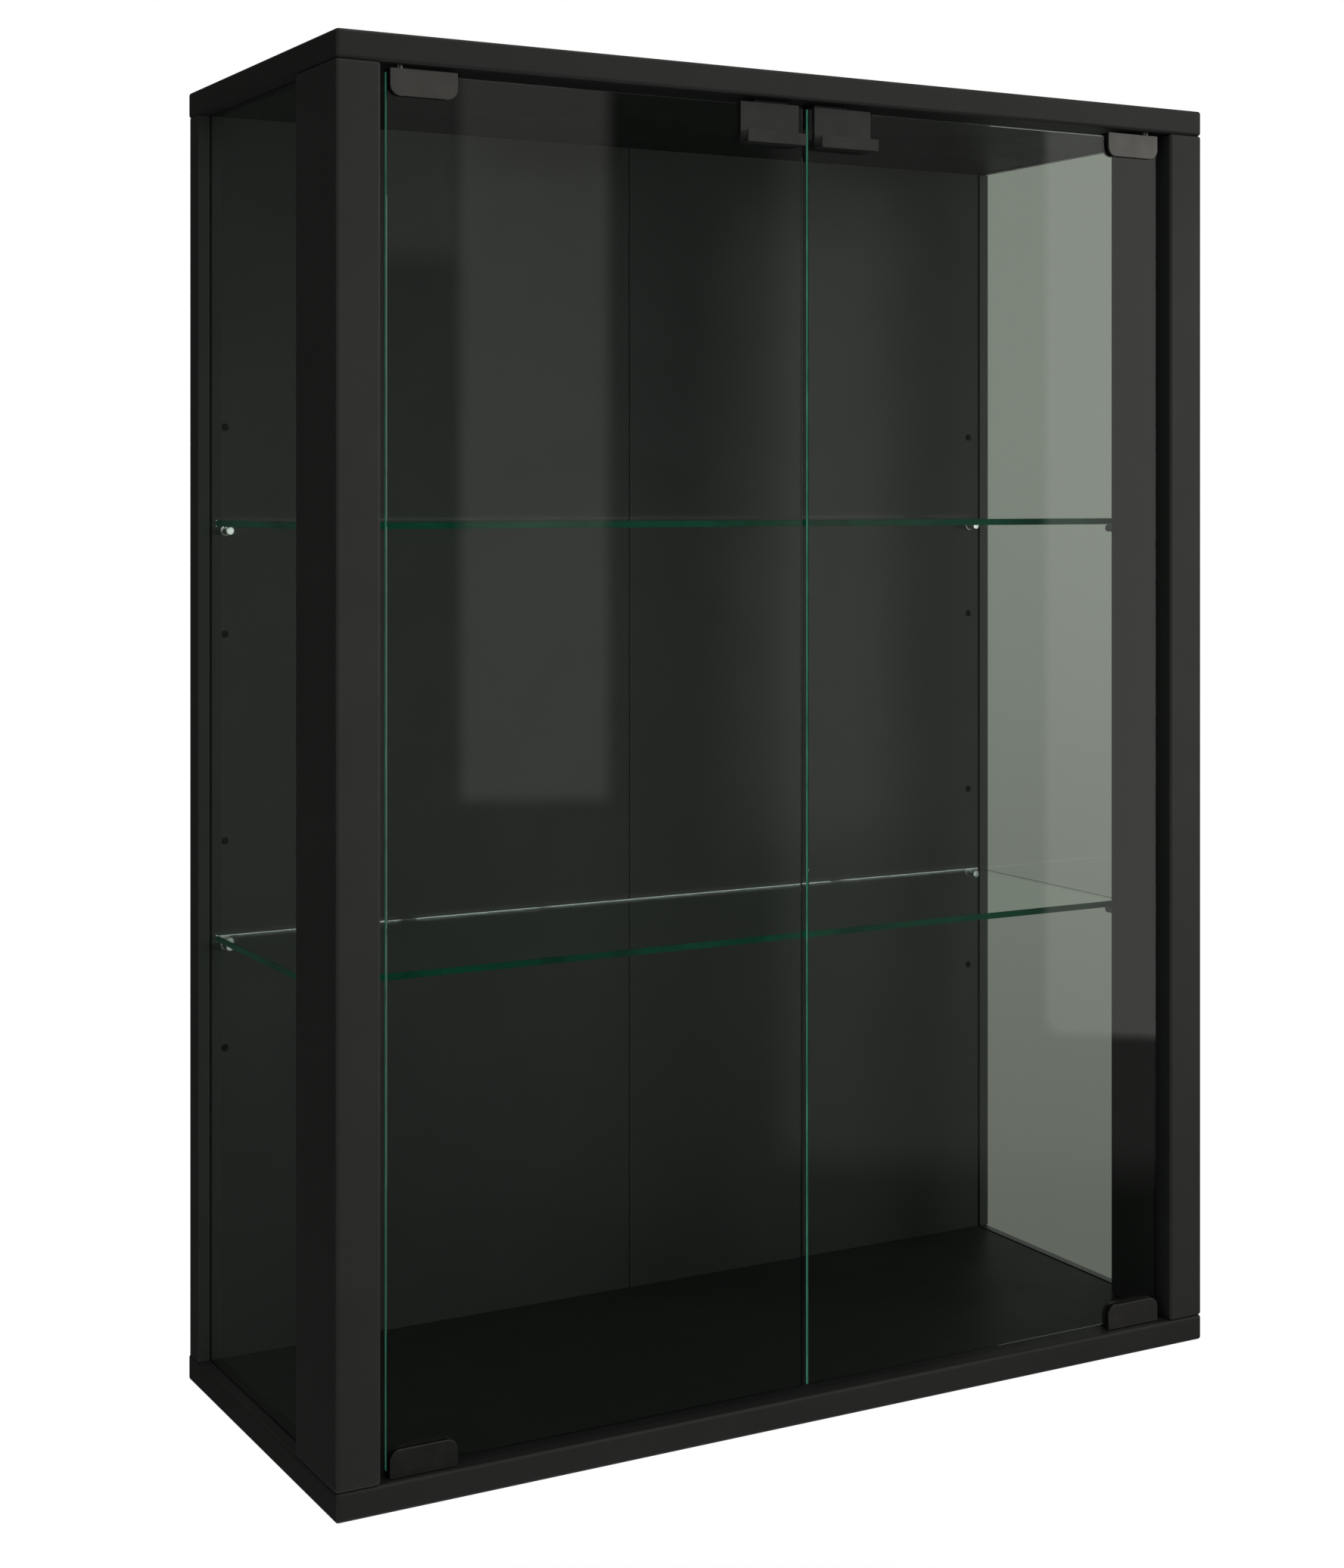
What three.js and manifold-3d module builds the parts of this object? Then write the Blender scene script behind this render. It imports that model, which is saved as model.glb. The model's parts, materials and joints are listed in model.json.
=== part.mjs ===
// A wall-hung glass showcase: a black board carcass with fixed glass sides, two loose glass shelves and
// two frameless inset glass doors on pivot hinges.
//
// Millimetres, +Z up. The origin is the centre of the bottom board's underside, the doors face -Y, and
// the wall is at +Y. The case is symmetric about the plane X = 0, and its hinges, dowels and boards are
// symmetric about mid height too, so those pieces are built once, for +X and above mid height, inside
// groups that mirror them.

import * as THREE from "three";
import { RoundedBoxGeometry } from "three/addons/geometries/RoundedBoxGeometry.js";
import { mergeVertices } from "three/addons/utils/BufferGeometryUtils.js";
import Module from "manifold-3d";

const wasm = await Module();
wasm.setup();

// Driving dimensions of the case.
const WIDTH = 600;
const DEPTH = 250;
const HEIGHT = 800;
const BOARD = 16; // thickness of the boards and of the back panels
const BOARD_ROUND = 2; // rounding of the edges that show
const PANEL_ROUND = 0.5; // the back panels' tighter edges
const PANEL_JOINT = { half: 0.4, depth: 6 }; // open joint in front of where the back panels meet
const POST_WIDTH = 26;
const POST_DEPTH = 62;
const BACK_RECESS = 3; // the back panels stand this far in front of the boards' rear edges

// Glass.
const PANE_GLASS = 4;
const PANE_INSET = 7.5; // from the case's side to the pane's outer face
const PANE_SEAT = 6; // how far a pane runs into the groove around it
const GROOVE_GAP = 0.3;
const DOOR_GLASS = 3;
const SHELF_GLASS = 4;
const GLASS_CHAMFER = 0.4;

// Doors and their pivot hinges.
const DOOR_FACE = 7; // from the case's front to the door glass
const DOOR_SIDE_GAP = 6; // between a front post and the door glass
const DOOR_END_GAP = 4; // between a board and the door glass
const DOOR_MIDDLE_GAP = 4; // between the two doors
const PIVOT_INSET = 8; // from the door's outer edge to the pivot axis
const PIVOT_RADIUS = 2;
const CLAMP = { width: 40, height: 15, plate: 2, corner: 6, outerEdge: 7, screwDrop: 9 };
const LINER = 0.5; // thickness of the soft liner between clamp and glass
const UPPER_CLAMP_GAP = 2; // between the top board and the upper clamp
const LOWER_CLAMP_GAP = 0.5; // between the bottom board and the lower clamp

// Folded sheet pull at each door's top inner corner.
const PULL = { width: 40, sheet: 1.25, frontLeg: 23.5, rearLeg: 18, reach: 10, lip: 7 };
const PULL_FROM_DOOR_EDGE = 3.5;

// Shelf pins, in the back panels and in the rear faces of the front posts.
const PIN = { radius: 2.5, length: 10, collarRadius: 3.2, collarLength: 1.5, stem: 2.4, seat: 8 };
const PIN_HOLE = { radius: 2.5, depth: 11, inset: 20 };
const HOLE_PITCH = 64; // between one shelf height and the next
const SHELF_LEVEL = 128; // a shelf's pins are this far above or below mid height
const SHELF_END_GAP = 2; // between a shelf's end and the side pane
const SHELF_EDGE_GAP = 2; // between a shelf and the post or panel, clear of the pins' collars
const SHELF_REST_GAP = 0.1;

// Hidden hardware.
const DOWEL = { radius: 4, length: 30, inBoard: 12 };
const BUSH = { radius: 4, bore: 2.3, length: 10, beyondPin: 2 };
const CATCH = { width: 24, height: 14, depth: 14, round: 1, plugRadius: 4, plugLength: 9, inset: 21 };
const MAGNET = { width: 16, height: 8, depth: 4, proud: 0.25, fromTop: 4 };
const MAGNET_GAP = 0.25; // between the magnet and the closed door's pull
const HANGER = { width: 60, height: 36, plate: 2, corner: 5, fromMiddle: 200, aboveMiddle: 350 };
const KEYHOLE = { headRadius: 5, slotRadius: 2.5, slotRise: 13, pocket: 8, pocketRise: 12 };
const HANGER_SCREW = { headRadius: 3.5, shankRadius: 1.75, length: 14, sunk: 0.2, fromCentre: 22 };
const CLAMP_SCREW = { headRadius: 3.5, head: 1.5, shankRadius: 2, shank: 2 };
const DRIVER_SLOT = { width: 1, depth: 0.8 };
const BORE_GAP = 0.1; // radial gap around a pressed or screwed piece
const BORE_END = 0.5; // how much deeper a blind bore is than the piece in it
const TIP_CHAMFER = 0.5; // of the shelf pins' and pivot pins' free ends

const PIN_FACETS = 16; // sides of the shelf pins, which show
const ROUND_FACETS = 12; // sides of the bores and of the other round pieces
const ARC_SEGMENTS = 4;
const ROUND_STEPS = 3; // segments in half of a rounded edge
const BEVEL_STEPS = 1; // the same for an edge that is only broken
const OVERCUT = 1; // how far a cutting tool starts outside the face that it enters

// Planes and lines that several pieces share. Half coordinates: X is counted outwards from the middle.
const HALF_WIDTH = WIDTH / 2;
const FRONT = -DEPTH / 2;
const REAR = DEPTH / 2;
const END = HEIGHT / 2 - BOARD; // a board's inner face, from mid height
const PANEL_REAR = REAR - BACK_RECESS;
const PANEL_FRONT = PANEL_REAR - BOARD;
const POST_REAR = FRONT + POST_DEPTH;
const POST_MIDDLE = HALF_WIDTH - POST_WIDTH / 2;
const PANE_MIDDLE = HALF_WIDTH - PANE_INSET - PANE_GLASS / 2;
const DOOR_OUTER = HALF_WIDTH - POST_WIDTH - DOOR_SIDE_GAP;
const DOOR_INNER = DOOR_MIDDLE_GAP / 2;
const PIVOT_X = DOOR_OUTER - PIVOT_INSET;
const PIVOT_Y = FRONT + DOOR_FACE + DOOR_GLASS / 2; // the pivots stand in the middle of the glass
const PIN_X = HALF_WIDTH - PIN_HOLE.inset;
const PANEL_DOWEL_X = HALF_WIDTH / 2;
const PANEL_DOWEL_Y = PANEL_FRONT + BOARD / 2;
const POST_DOWEL_Y = FRONT + POST_DEPTH / 2;
const PULL_REAR = PIVOT_Y + DOOR_GLASS / 2 + PULL.sheet;
const CLAMP_SCREW_X = CLAMP.outerEdge - CLAMP.width / 2; // from the pivot axis
const CATCH_FRONT = PULL_REAR + MAGNET_GAP + MAGNET.proud;

const SIDES = { left: -1, right: 1 };
const ENDS = { lower: -1, upper: 1 };

const finish = (color, roughness, metalness) =>
  new THREE.MeshStandardMaterial({ color, roughness, metalness });

const MATERIALS = {
  board: finish(0x282827, 0.6, 0),
  clearGlass: finish(0x9fb3a8, 0.05, 0),
  darkMetal: finish(0x35332f, 0.4, 0.6),
  brightMetal: finish(0xc9c9c6, 0.2, 1),
  blackPlastic: finish(0x151515, 0.5, 0),
  liner: finish(0x0b0b0b, 0.8, 0),
  beech: finish(0xb98d5a, 0.8, 0),
  zinc: finish(0xa9abad, 0.4, 1),
};

// ---- Solids ----

function solid(geometry) {
  const bare = geometry.clone();
  bare.deleteAttribute("normal");
  bare.deleteAttribute("uv");
  const merged = mergeVertices(bare);
  return new wasm.Manifold(
    new wasm.Mesh({
      numProp: 3,
      vertProperties: merged.attributes.position.array,
      triVerts: new Uint32Array(merged.index.array),
    }),
  );
}

function geometryOf(manifold) {
  const mesh = manifold.getMesh();
  const geometry = new THREE.BufferGeometry();
  geometry.setAttribute("position", new THREE.BufferAttribute(mesh.vertProperties, 3));
  geometry.setIndex(new THREE.BufferAttribute(mesh.triVerts, 1));
  geometry.computeVertexNormals();
  return geometry;
}

function cut(base, tools) {
  return geometryOf(tools.reduce((rest, tool) => rest.subtract(solid(tool)), solid(base)));
}

function join(base, added) {
  return geometryOf(solid(base).add(solid(added)));
}

// ---- Plain shapes, each given by its extents or placed by its axis ----

const middle = ([low, high]) => (low + high) / 2;
const length = ([low, high]) => high - low;

function block(x, y, z) {
  const box = new THREE.BoxGeometry(length(x), length(y), length(z));
  return box.translate(middle(x), middle(y), middle(z));
}

function roundedBlock(x, y, z, radius, steps) {
  const box = new RoundedBoxGeometry(length(x), length(y), length(z), steps, radius);
  return box.translate(middle(x), middle(y), middle(z));
}

function barAlongY(radius, x, y, z) {
  const bar = new THREE.CylinderGeometry(radius, radius, length(y), ROUND_FACETS);
  return bar.translate(x, middle(y), z);
}

function barAlongZ(radius, x, y, z) {
  const bar = new THREE.CylinderGeometry(radius, radius, length(z), ROUND_FACETS);
  return bar.rotateX(Math.PI / 2).translate(x, y, middle(z));
}

// A turned piece about the Y axis, from its outline as [radius, y] pairs.
function turned(outline, facets = ROUND_FACETS) {
  const points = outline.map(([radius, y]) => new THREE.Vector2(radius, y));
  return new THREE.LatheGeometry(points, facets);
}

// A flat plate in the XZ plane, with its middle at y = 0.
function plate(shape, thickness) {
  const options = { depth: thickness, bevelEnabled: false, curveSegments: ARC_SEGMENTS };
  const sheet = new THREE.ExtrudeGeometry(shape, options);
  return sheet.rotateX(Math.PI / 2).translate(0, thickness / 2, 0);
}

function glassSheet(x, y, z) {
  return roundedBlock(x, y, z, GLASS_CHAMFER, BEVEL_STEPS);
}

function piece(name, geometry, material) {
  const mesh = new THREE.Mesh(geometry, material);
  mesh.name = name;
  return mesh;
}

function at(object, x, y, z) {
  object.position.set(x, y, z);
  return object;
}

// ---- Carcass ----

// The heights of the shelf-pin holes, counted from mid height: three above and three below it.
function pinHoleHeights() {
  const heights = [];
  for (const end of Object.values(ENDS)) {
    for (const step of [-1, 0, 1]) {
      heights.push(end * (SHELF_LEVEL + step * HOLE_PITCH));
    }
  }
  return heights;
}

// A board with its inner face at z = 0 and its outer face at z = BOARD.
function endBoard(hasCatches) {
  const board = roundedBlock(
    [-HALF_WIDTH, HALF_WIDTH],
    [FRONT, REAR],
    [0, BOARD],
    BOARD_ROUND,
    ROUND_STEPS,
  );
  const grooveHalf = PANE_GLASS / 2 + GROOVE_GAP;
  const grooveEnd = PANE_SEAT + GROOVE_GAP;
  const bushDepth = [-OVERCUT, BUSH.length + BORE_END];
  const dowelBore = DOWEL.radius + BORE_GAP;
  const dowelDepth = [-OVERCUT, DOWEL.inBoard + BORE_END];
  const tools = [];
  for (const side of Object.values(SIDES)) {
    tools.push(
      block(
        [side * PANE_MIDDLE - grooveHalf, side * PANE_MIDDLE + grooveHalf],
        [POST_REAR - grooveEnd, PANEL_FRONT + grooveEnd],
        [-OVERCUT, grooveEnd],
      ),
      barAlongZ(BUSH.radius + BORE_GAP, side * PIVOT_X, PIVOT_Y, bushDepth),
      barAlongZ(dowelBore, side * POST_MIDDLE, POST_DOWEL_Y, dowelDepth),
      barAlongZ(dowelBore, side * PANEL_DOWEL_X, PANEL_DOWEL_Y, dowelDepth),
    );
    if (hasCatches) {
      const depth = [-OVERCUT, CATCH.plugLength + BORE_END];
      const y = CATCH_FRONT + CATCH.depth / 2;
      tools.push(barAlongZ(CATCH.plugRadius + BORE_GAP, side * CATCH.inset, y, depth));
    }
  }
  return cut(board, tools);
}

// The dowel bores in the two ends of an upright, at one place in its section.
function endBores(x, y) {
  const depth = DOWEL.length - DOWEL.inBoard + BORE_END;
  return Object.values(ENDS).map((end) => {
    const z = [end * END - depth, end * END + depth];
    return barAlongZ(DOWEL.radius + BORE_GAP, x, y, z);
  });
}

// A back panel in half coordinates, with its front face at y = 0. It meets the other one at x = 0, behind
// a narrow open joint.
function backPanel() {
  const panel = roundedBlock(
    [0, HALF_WIDTH],
    [0, BOARD],
    [-END, END],
    PANEL_ROUND,
    BEVEL_STEPS,
  );
  const grooveHalf = PANE_GLASS / 2 + GROOVE_GAP;
  const screwBore = HANGER_SCREW.shankRadius + BORE_GAP;
  const screwDepth = HANGER_SCREW.length - HANGER.plate + BORE_END;
  const holes = pinHoleHeights().map((z) => {
    return barAlongY(PIN_HOLE.radius, PIN_X, [-PIN_HOLE.depth, PIN_HOLE.depth], z);
  });
  const screwBores = [-1, 1].map((way) => {
    const x = HANGER.fromMiddle + way * HANGER_SCREW.fromCentre;
    return barAlongY(screwBore, x, [BOARD - screwDepth, BOARD + OVERCUT], HANGER.aboveMiddle);
  });
  return cut(panel, [
    block(
      [-OVERCUT, PANEL_JOINT.half],
      [-OVERCUT, PANEL_JOINT.depth],
      [-END - OVERCUT, END + OVERCUT],
    ),
    block(
      [PANE_MIDDLE - grooveHalf, PANE_MIDDLE + grooveHalf],
      [-OVERCUT, PANE_SEAT + GROOVE_GAP],
      [-END - OVERCUT, END + OVERCUT],
    ),
    block(
      [HANGER.fromMiddle - KEYHOLE.pocket, HANGER.fromMiddle + KEYHOLE.pocket],
      [BOARD - KEYHOLE.pocket, BOARD + OVERCUT],
      [HANGER.aboveMiddle - KEYHOLE.pocketRise, HANGER.aboveMiddle + KEYHOLE.pocketRise],
    ),
    ...holes,
    ...screwBores,
    ...endBores(PANEL_DOWEL_X, BOARD / 2),
  ]);
}

// A front post, with the middle of its rear face at the origin.
function frontPost() {
  const post = roundedBlock(
    [-POST_WIDTH / 2, POST_WIDTH / 2],
    [-POST_DEPTH, 0],
    [-END, END],
    BOARD_ROUND,
    ROUND_STEPS,
  );
  const groove = PANE_MIDDLE - POST_MIDDLE;
  const grooveHalf = PANE_GLASS / 2 + GROOVE_GAP;
  const holes = pinHoleHeights().map((z) => {
    return barAlongY(PIN_HOLE.radius, PIN_X - POST_MIDDLE, [-PIN_HOLE.depth, PIN_HOLE.depth], z);
  });
  return cut(post, [
    block(
      [groove - grooveHalf, groove + grooveHalf],
      [-PANE_SEAT - GROOVE_GAP, OVERCUT],
      [-END - OVERCUT, END + OVERCUT],
    ),
    ...holes,
    ...endBores(0, -POST_DEPTH / 2),
  ]);
}

// A side pane, seated in the grooves of the post, the panel and both boards.
function sidePane() {
  return glassSheet(
    [-PANE_GLASS / 2, PANE_GLASS / 2],
    [POST_REAR - PANE_SEAT, PANEL_FRONT + PANE_SEAT],
    [-END - PANE_SEAT, END + PANE_SEAT],
  );
}

// ---- Small hardware of the case ----

// A shelf pin that points along -Y out of a face at y = 0, with its stem in the hole behind the face.
function shelfPin() {
  const outline = [
    [0, -PIN.length],
    [PIN.radius - TIP_CHAMFER, -PIN.length],
    [PIN.radius, -PIN.length + TIP_CHAMFER],
    [PIN.radius, -PIN.collarLength],
    [PIN.collarRadius, -PIN.collarLength],
    [PIN.collarRadius, 0],
    [PIN.stem, 0],
    [PIN.stem, PIN.seat],
    [0, PIN.seat],
  ];
  return turned(outline, PIN_FACETS);
}

// A beech dowel along Z, with the joint between the board and the upright at z = 0.
function dowel() {
  return barAlongZ(DOWEL.radius, 0, 0, [DOWEL.inBoard - DOWEL.length, DOWEL.inBoard]);
}

// The plastic sleeve in a board that a door's pivot pin turns in.
function pivotBush() {
  return turned([
    [BUSH.bore, 0],
    [BUSH.radius, 0],
    [BUSH.radius, BUSH.length],
    [BUSH.bore, BUSH.length],
    [BUSH.bore, 0],
  ]).rotateX(Math.PI / 2);
}

// The magnet's block, with the catch body's front face at y = 0 and its top at z = 0.
function magnetBlock(gap) {
  return block(
    [-MAGNET.width / 2 - gap, MAGNET.width / 2 + gap],
    [-MAGNET.proud, MAGNET.depth + gap],
    [-MAGNET.fromTop - MAGNET.height - gap, -MAGNET.fromTop + gap],
  );
}

// A magnetic catch that hangs under the top board by a round plug.
function catchBody() {
  const body = roundedBlock(
    [-CATCH.width / 2, CATCH.width / 2],
    [0, CATCH.depth],
    [-CATCH.height, 0],
    CATCH.round,
    BEVEL_STEPS,
  );
  const plug = barAlongZ(CATCH.plugRadius, 0, CATCH.depth / 2, [-CATCH.round, CATCH.plugLength]);
  return cut(join(body, plug), [magnetBlock(BORE_GAP)]);
}

// A cutting block for the driver slot across a screw head whose flat end is at the given y.
function driverSlot(headRadius, y) {
  const reach = headRadius + OVERCUT;
  return block(
    [-DRIVER_SLOT.width / 2, DRIVER_SLOT.width / 2],
    [y - DRIVER_SLOT.depth, y + OVERCUT],
    [-reach, reach],
  );
}

// The pan-head screw that closes a clamp, along Y, with the head's underside at y = 0.
function clampScrew() {
  const { headRadius, head, shankRadius, shank } = CLAMP_SCREW;
  const body = turned([
    [0, -shank],
    [shankRadius, -shank],
    [shankRadius, 0],
    [headRadius, 0],
    [headRadius, head - TIP_CHAMFER],
    [headRadius - TIP_CHAMFER, head],
    [0, head],
  ]);
  return cut(body, [driverSlot(headRadius, head)]);
}

// The outline of a countersunk screw that points along -Y: its head is widest at y = 0 and ends at y = end.
function countersunk(gap, end) {
  const head = HANGER_SCREW.headRadius + gap;
  const shank = HANGER_SCREW.shankRadius + gap;
  const taper = head - shank; // a cone of 90 degrees is as deep as it narrows
  return [
    [0, -HANGER_SCREW.length],
    [shank, -HANGER_SCREW.length],
    [shank, -taper],
    [head, 0],
    [head, end],
    [0, end],
  ];
}

// The countersunk wood screw of a wall hanger.
function hangerScrew() {
  const body = turned(countersunk(0, HANGER_SCREW.sunk / 2));
  return cut(body, [driverSlot(HANGER_SCREW.headRadius, HANGER_SCREW.sunk / 2)]);
}

// A rectangle with its corners rounded, as a shape. Corners with radius 0 stay square.
function rectangle([x0, x1], [z0, z1], lowerRadius, upperRadius) {
  const shape = new THREE.Shape();
  const quarter = Math.PI / 2;
  shape.moveTo(x0 + lowerRadius, z0);
  shape.lineTo(x1 - lowerRadius, z0);
  if (lowerRadius) shape.absarc(x1 - lowerRadius, z0 + lowerRadius, lowerRadius, -quarter, 0);
  shape.lineTo(x1, z1 - upperRadius);
  if (upperRadius) shape.absarc(x1 - upperRadius, z1 - upperRadius, upperRadius, 0, quarter);
  shape.lineTo(x0 + upperRadius, z1);
  if (upperRadius) shape.absarc(x0 + upperRadius, z1 - upperRadius, upperRadius, quarter, Math.PI);
  shape.lineTo(x0, z0 + lowerRadius);
  if (lowerRadius) shape.absarc(x0 + lowerRadius, z0 + lowerRadius, lowerRadius, Math.PI, 3 * quarter);
  return shape;
}

// A hanger plate with a keyhole: the wall screw's head goes in at the bottom and slides up the slot. Its
// own two screws are countersunk, so that nothing stands proud of its rear face.
function wallHanger() {
  const shape = rectangle(
    [-HANGER.width / 2, HANGER.width / 2],
    [-HANGER.height / 2, HANGER.height / 2],
    HANGER.corner,
    HANGER.corner,
  );
  const headZ = -KEYHOLE.slotRise / 2;
  const slotTop = KEYHOLE.slotRise / 2;
  const meet = Math.acos(KEYHOLE.slotRadius / KEYHOLE.headRadius); // where the slot leaves the round
  const keyhole = new THREE.Path();
  keyhole.absarc(0, slotTop, KEYHOLE.slotRadius, 0, Math.PI);
  keyhole.absarc(0, headZ, KEYHOLE.headRadius, Math.PI - meet, 2 * Math.PI + meet);
  keyhole.closePath();
  shape.holes.push(keyhole);
  const countersinks = [-1, 1].map((way) => {
    const sink = turned(countersunk(BORE_GAP, HANGER_SCREW.sunk + OVERCUT));
    return sink.translate(way * HANGER_SCREW.fromCentre, HANGER.plate / 2 - HANGER_SCREW.sunk, 0);
  });
  return cut(plate(shape, HANGER.plate), countersinks);
}

// ---- Doors. Each door's frame stands on its pivot axis, and x grows towards the case's side. ----

function doorGlass() {
  return glassSheet(
    [DOOR_INNER - PIVOT_X, PIVOT_INSET],
    [-DOOR_GLASS / 2, DOOR_GLASS / 2],
    [-END + DOOR_END_GAP, END - DOOR_END_GAP],
  );
}

// The upper hinge clamp, with its board side at z = 0: a channel that grips the glass edge, whose web
// holds the pivot pin. The glass edge is at z = -edge.
function hingeClamp(edge) {
  const outer = CLAMP.outerEdge;
  const shape = rectangle([outer - CLAMP.width, outer], [-CLAMP.height, 0], CLAMP.corner, 0);
  const channel = DOOR_GLASS / 2 + LINER;
  const far = CLAMP.width;
  return cut(plate(shape, 2 * (channel + CLAMP.plate)), [
    block([-far, far], [-channel, channel], [-far, -edge + LINER]),
    barAlongZ(PIVOT_RADIUS + BORE_GAP, 0, 0, [-edge, OVERCUT]),
    barAlongY(CLAMP_SCREW.shankRadius + BORE_GAP, CLAMP_SCREW_X, [0, far], -CLAMP.screwDrop),
  ]);
}

// The soft liner folded over the glass edge inside a clamp.
function clampLiner(edge) {
  const outer = CLAMP.outerEdge - LINER;
  const inner = CLAMP.outerEdge - CLAMP.width + LINER;
  const corner = CLAMP.corner - LINER;
  const shape = rectangle([inner, outer], [-CLAMP.height + LINER, -edge + LINER], corner, 0);
  const far = CLAMP.width;
  return cut(plate(shape, DOOR_GLASS + 2 * LINER), [
    block([-far, far], [-DOOR_GLASS / 2, DOOR_GLASS / 2], [-far, -edge]),
  ]);
}

// The pin through a clamp's web into the bush in the board.
function pivotPin(edge, clampGap) {
  const top = clampGap + BUSH.length - BUSH.beyondPin;
  return turned([
    [0, -edge + LINER],
    [PIVOT_RADIUS, -edge + LINER],
    [PIVOT_RADIUS, top - TIP_CHAMFER],
    [PIVOT_RADIUS - TIP_CHAMFER, top],
    [0, top],
  ]).rotateX(Math.PI / 2);
}

// The pull: one folded sheet, over the glass edge at z = 0, down the front, out to a foot and up to a lip.
function doorPull() {
  const glass = DOOR_GLASS / 2;
  const front = -glass - PULL.sheet;
  const lipFace = -glass - PULL.reach;
  const shape = new THREE.Shape();
  shape.moveTo(lipFace, -PULL.frontLeg);
  shape.lineTo(-glass, -PULL.frontLeg);
  shape.lineTo(-glass, 0);
  shape.lineTo(glass, 0);
  shape.lineTo(glass, -PULL.rearLeg);
  shape.lineTo(glass + PULL.sheet, -PULL.rearLeg);
  shape.lineTo(glass + PULL.sheet, PULL.sheet);
  shape.lineTo(front, PULL.sheet);
  shape.lineTo(front, -PULL.frontLeg + PULL.sheet);
  shape.lineTo(lipFace + PULL.sheet, -PULL.frontLeg + PULL.sheet);
  shape.lineTo(lipFace + PULL.sheet, -PULL.frontLeg + PULL.lip);
  shape.lineTo(lipFace, -PULL.frontLeg + PULL.lip);
  const alongX = new THREE.Matrix4().makeBasis(
    new THREE.Vector3(0, 1, 0),
    new THREE.Vector3(0, 0, 1),
    new THREE.Vector3(1, 0, 0),
  );
  const sheet = new THREE.ExtrudeGeometry(shape, { depth: PULL.width, bevelEnabled: false });
  return sheet.applyMatrix4(alongX).translate(-PULL.width / 2, 0, 0);
}

// ---- Assembly ----

// A group whose content is mirrored: side is 1 as built or -1 for the left half, and end is 1 as built
// or -1 below mid height.
function mirror(side, end) {
  const group = new THREE.Group();
  group.scale.set(side, 1, end);
  return group;
}

function shelfPins(side) {
  const pins = [];
  for (const [level, end] of Object.entries(ENDS)) {
    const z = end * SHELF_LEVEL;
    const back = piece(`shelf_pin_${level}_back_${side}`, shelfPin(), MATERIALS.brightMetal);
    const front = piece(`shelf_pin_${level}_front_${side}`, shelfPin(), MATERIALS.brightMetal);
    front.rotation.z = Math.PI;
    pins.push(at(back, PIN_X, PANEL_FRONT, z), at(front, PIN_X, POST_REAR, z));
  }
  return pins;
}

function hanger(side) {
  const group = new THREE.Group();
  group.add(at(piece(`wall_hanger_${side}`, wallHanger(), MATERIALS.zinc), 0, HANGER.plate / 2, 0));
  for (const [place, way] of [["inner", -1], ["outer", 1]]) {
    const name = `hanger_screw_${place}_${side}`;
    const fastener = piece(name, hangerScrew(), MATERIALS.zinc);
    const flatEnd = HANGER.plate - HANGER_SCREW.sunk;
    group.add(at(fastener, way * HANGER_SCREW.fromCentre, flatEnd, 0));
  }
  return at(group, HANGER.fromMiddle, PANEL_REAR, HANGER.aboveMiddle);
}

function magneticCatch(side) {
  const group = new THREE.Group();
  group.add(
    piece(`catch_body_${side}`, catchBody(), MATERIALS.blackPlastic),
    piece(`catch_magnet_${side}`, magnetBlock(0), MATERIALS.zinc),
  );
  return at(group, CATCH.inset, CATCH_FRONT, END);
}

// The uprights and fittings of one half of the case.
function caseHalf(side) {
  const group = mirror(SIDES[side], 1);
  group.add(
    at(piece(`back_panel_${side}`, backPanel(), MATERIALS.board), 0, PANEL_FRONT, 0),
    at(piece(`front_post_${side}`, frontPost(), MATERIALS.board), POST_MIDDLE, POST_REAR, 0),
    at(piece(`side_pane_${side}`, sidePane(), MATERIALS.clearGlass), PANE_MIDDLE, 0, 0),
    ...shelfPins(side),
    hanger(side),
    magneticCatch(side),
  );
  return group;
}

// The bush and dowels in one corner of the case.
function caseCorner(side, end) {
  const group = mirror(SIDES[side], ENDS[end]);
  const where = `${end}_${side}`;
  group.add(
    at(piece(`pivot_bush_${where}`, pivotBush(), MATERIALS.blackPlastic), PIVOT_X, PIVOT_Y, END),
    at(piece(`dowel_post_${where}`, dowel(), MATERIALS.beech), POST_MIDDLE, POST_DOWEL_Y, END),
    at(piece(`dowel_panel_${where}`, dowel(), MATERIALS.beech), PANEL_DOWEL_X, PANEL_DOWEL_Y, END),
  );
  return group;
}

// The hinge at one corner of a door, in the door's frame.
function doorHinge(side, end) {
  const clampGap = end === "upper" ? UPPER_CLAMP_GAP : LOWER_CLAMP_GAP;
  const edge = DOOR_END_GAP - clampGap; // from the clamp's board side to the glass edge
  const where = `${end}_${side}`;
  const screw = piece(`clamp_screw_${where}`, clampScrew(), MATERIALS.darkMetal);
  const clampRear = DOOR_GLASS / 2 + LINER + CLAMP.plate;
  const hinge = new THREE.Group();
  hinge.add(
    piece(`hinge_clamp_${where}`, hingeClamp(edge), MATERIALS.darkMetal),
    piece(`clamp_liner_${where}`, clampLiner(edge), MATERIALS.liner),
    piece(`pivot_pin_${where}`, pivotPin(edge, clampGap), MATERIALS.brightMetal),
    at(screw, CLAMP_SCREW_X, clampRear, -CLAMP.screwDrop),
  );
  const group = mirror(1, ENDS[end]);
  group.add(at(hinge, 0, 0, END - clampGap));
  return group;
}

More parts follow.
